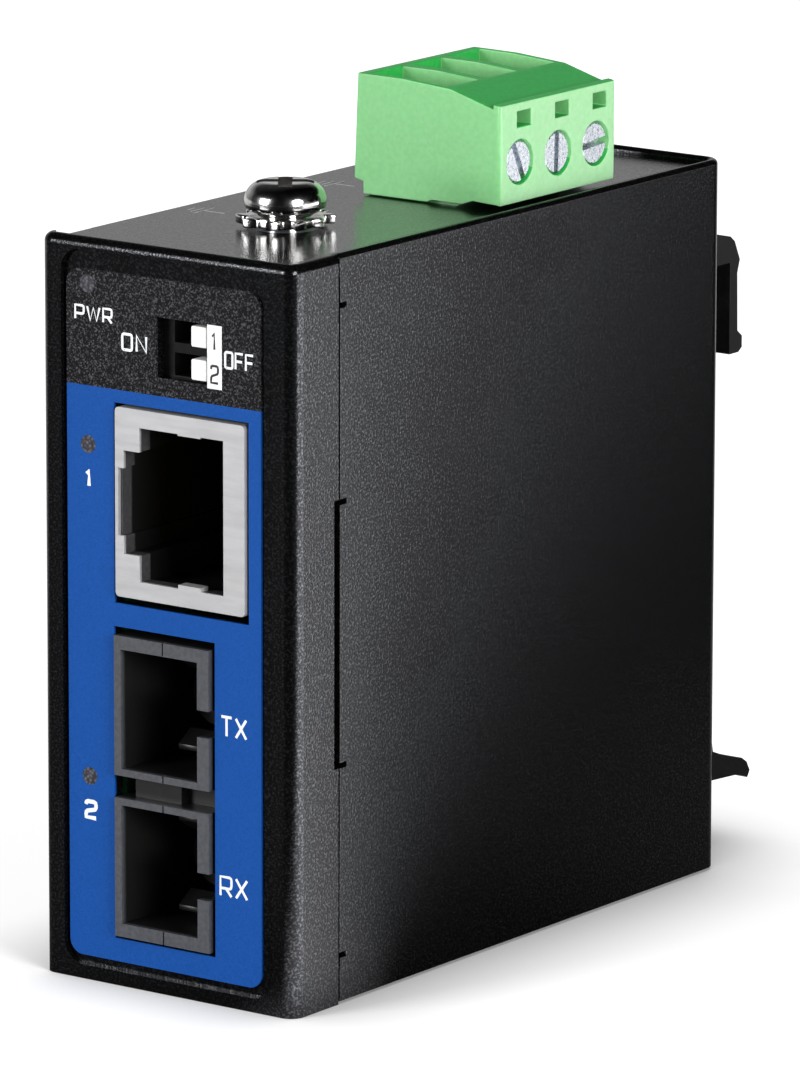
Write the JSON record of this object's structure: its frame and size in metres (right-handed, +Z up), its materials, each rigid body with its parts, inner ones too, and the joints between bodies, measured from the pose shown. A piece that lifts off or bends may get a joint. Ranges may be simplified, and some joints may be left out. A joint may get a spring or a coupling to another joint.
{
  "type": "fibre media converter",
  "caption": "Narrow folded-metal fibre media converter with copper and duplex fibre sockets, a green pluggable terminal block, a ground screw and a rail clip.",
  "frame": {"origin": "centre of the bottom plate's underside", "axes": "+Z up, the socket face looks along -Y, the bare side panel along +X and the rail clip along +Y"},
  "size_m": [0.0242, 0.0668, 0.0671],
  "materials": {
    "black_coat": "fine textured semi-gloss powder coat",
    "label_print": "satin printed film, black above and blue below",
    "zinc": "bright zinc plate",
    "bright_steel": "polished",
    "black_screw": "black zinc",
    "shield_metal": "satin nickel plate",
    "gold": "gold flash",
    "black_plastic": "moulded",
    "port_plastic": "moulded",
    "ceramic": "ground ceramic",
    "tin": "tin plate",
    "white_plastic": "moulded",
    "lamp": "clear tinted resin",
    "board_green": "solder mask",
    "can_aluminium": "drawn can",
    "green_plastic": "moulded",
    "clip_plastic": "moulded"
  },
  "bodies": {
    "case": {"front_cover": "black_coat", "front_label": "label_print", "chassis": "black_coat", "side_cover": "black_coat", "cover_screw_1": "black_screw", "cover_screw_2": "black_screw", "flange_screw_1": "black_screw", "flange_screw_2": "black_screw", "main_board": "board_green", "standoff_1": "zinc", "standoff_2": "zinc", "standoff_3": "zinc", "standoff_4": "zinc", "board_screw_1": "zinc", "board_screw_2": "zinc", "board_screw_3": "zinc", "board_screw_4": "zinc", "rj45_shield": "shield_metal", "rj45_insert": "black_plastic", "rj45_contacts": "gold", "sc_receptacle": "port_plastic", "ferrule_sleeve_tx": "ceramic", "ferrule_sleeve_rx": "ceramic", "transceiver_body": "port_plastic", "transceiver_pins": "tin", "dip_switch_body": "black_plastic", "led_power": "lamp", "led_copper": "lamp", "led_fibre": "lamp", "lan_transformer": "black_plastic", "converter_chip": "black_plastic", "crystal": "tin", "power_inductor": "black_plastic", "capacitor_1": "can_aluminium", "capacitor_2": "can_aluminium", "terminal_header": "green_plastic", "header_pin_1": "tin", "header_pin_2": "tin", "header_pin_3": "tin", "ground_nut": "zinc", "din_clip": "clip_plastic", "clip_screw_1": "black_screw", "clip_screw_2": "black_screw", "clip_nut_1": "zinc", "clip_nut_2": "zinc"},
    "switch_1": {"dip_slider_1": "white_plastic"},
    "switch_2": {"dip_slider_2": "white_plastic"},
    "plug": {"plug_body": "green_plastic", "plug_contact_1": "tin", "plug_contact_2": "tin", "plug_contact_3": "tin"},
    "pole_screw_1": {"terminal_screw_1": "zinc"},
    "pole_clamp_1": {"clamp_cage_1": "zinc"},
    "pole_screw_2": {"terminal_screw_2": "zinc"},
    "pole_clamp_2": {"clamp_cage_2": "zinc"},
    "pole_screw_3": {"terminal_screw_3": "zinc"},
    "pole_clamp_3": {"clamp_cage_3": "zinc"},
    "ground_lifter": {"ground_washer": "bright_steel"},
    "ground_bolt": {"ground_screw": "bright_steel"},
    "spring": {"rail_spring": "zinc"}
  },
  "joints": [
    {"name": "switch_1_slide", "type": "slide", "parent": "case", "child": "switch_1", "axis": [-1, 0, 0], "range_m": [0, 0.0022]},
    {"name": "switch_2_slide", "type": "slide", "parent": "case", "child": "switch_2", "axis": [-1, 0, 0], "range_m": [0, 0.0022]},
    {"name": "plug_lift", "type": "slide", "parent": "case", "child": "plug", "axis": [0, 0, 1], "range_m": [0, 0.012]},
    {"name": "pole_1_turn", "type": "hinge", "parent": "plug", "child": "pole_screw_1", "pos_m": [0.01, 0.00312, 0.06115], "axis": [1, 0, 0], "range_deg": [0, 1441]},
    {"name": "pole_1_clamp", "type": "slide", "parent": "plug", "child": "pole_clamp_1", "axis": [-1, 0, 0], "range_m": [0, 0.002]},
    {"name": "pole_2_turn", "type": "hinge", "parent": "plug", "child": "pole_screw_2", "pos_m": [0.01, 0.0082, 0.06115], "axis": [1, 0, 0], "range_deg": [0, 1441]},
    {"name": "pole_2_clamp", "type": "slide", "parent": "plug", "child": "pole_clamp_2", "axis": [-1, 0, 0], "range_m": [0, 0.002]},
    {"name": "pole_3_turn", "type": "hinge", "parent": "plug", "child": "pole_screw_3", "pos_m": [0.01, 0.01328, 0.06115], "axis": [1, 0, 0], "range_deg": [0, 1441]},
    {"name": "pole_3_clamp", "type": "slide", "parent": "plug", "child": "pole_clamp_3", "axis": [-1, 0, 0], "range_m": [0, 0.002]},
    {"name": "ground_lift", "type": "slide", "parent": "case", "child": "ground_lifter", "axis": [0, 0, 1], "range_m": [0, 0.0021]},
    {"name": "ground_turn", "type": "hinge", "parent": "ground_lifter", "child": "ground_bolt", "pos_m": [0.00035, -0.0139, 0.0588], "axis": [0, 0, 1], "range_deg": [0, 1081]},
    {"name": "spring_lift", "type": "slide", "parent": "case", "child": "spring", "axis": [0, 0, 1], "range_m": [0, 0.0029], "stiffness_N_per_m": 1000}
  ],
  "couplings": [
    {"joint": "pole_1_turn", "follows": "pole_1_clamp", "rad_per_m": 12566},
    {"joint": "pole_2_turn", "follows": "pole_2_clamp", "rad_per_m": 12566},
    {"joint": "pole_3_turn", "follows": "pole_3_clamp", "rad_per_m": 12566},
    {"joint": "ground_turn", "follows": "ground_lift", "rad_per_m": 8976}
  ]
}
